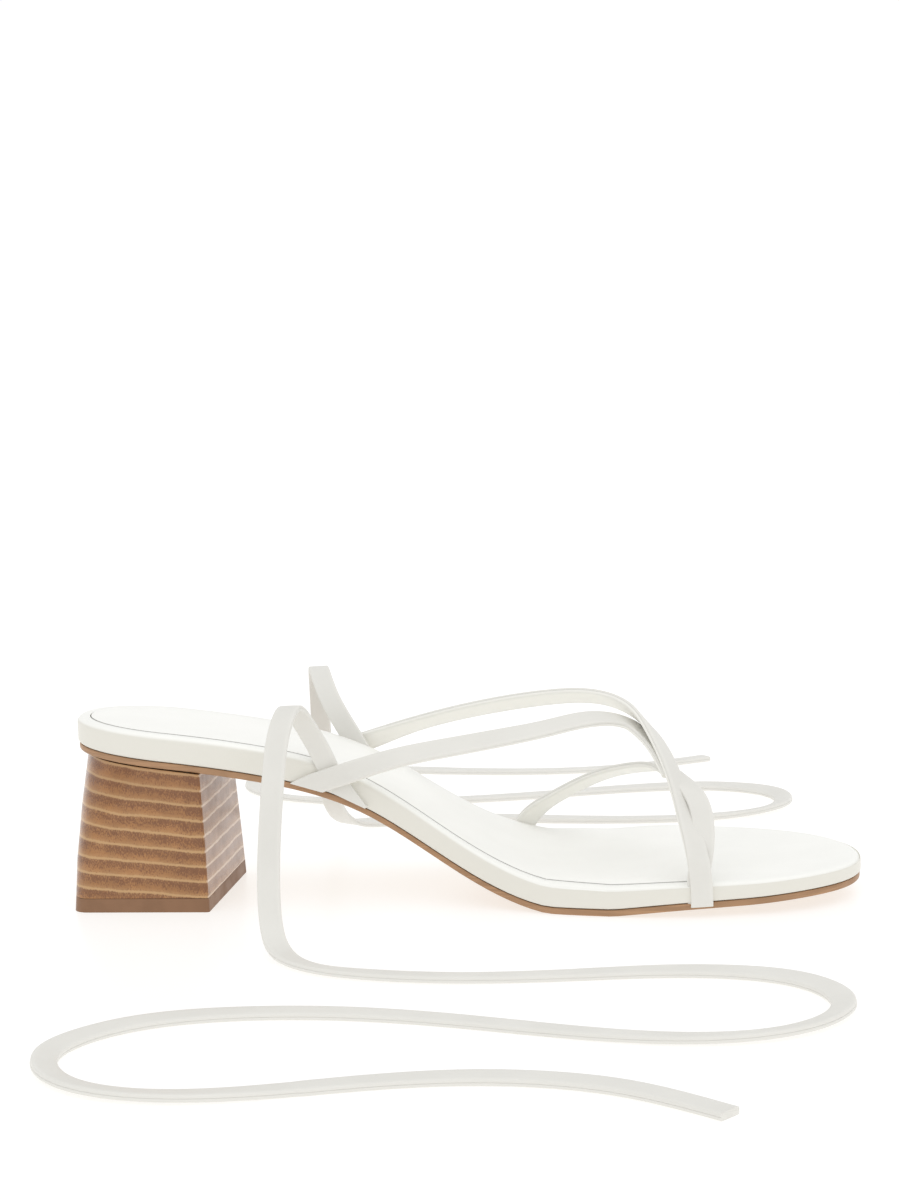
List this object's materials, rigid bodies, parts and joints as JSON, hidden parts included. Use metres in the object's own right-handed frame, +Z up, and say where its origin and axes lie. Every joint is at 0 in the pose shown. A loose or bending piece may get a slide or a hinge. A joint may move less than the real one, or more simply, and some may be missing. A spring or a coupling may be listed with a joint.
{
  "type": "lace up heeled sandal",
  "caption": "Left open sandal on a flared block heel, with narrow leather straps over the forefoot and long flat ties that wind up the leg.",
  "frame": {"origin": "middle of the shoe's box without its ties, on the floor that it stands on", "axes": "+X towards the toe, +Y towards the outer side of the foot, +Z up"},
  "size_m": [0.24, 0.4293, 0.0644],
  "materials": {
    "outsole": "smooth tan brown edge, satin",
    "heel_tip": "plain brown, satin",
    "stacked_heel": "stacked layers with light lines and mottled brown grain, satin",
    "footbed_leather": "smooth off-white, satin",
    "sock_leather": "smooth soft white, satin",
    "strap_leather": "smooth off-white with folded edges, satin"
  },
  "bodies": {
    "root": {"outsole": "outsole", "top_piece": "heel_tip", "heel_block": "stacked_heel", "footbed": "footbed_leather", "insole_sock": "sock_leather", "upper_straps": "strap_leather", "tie_inner": "strap_leather", "tie_outer": "strap_leather"}
  },
  "joints": []
}
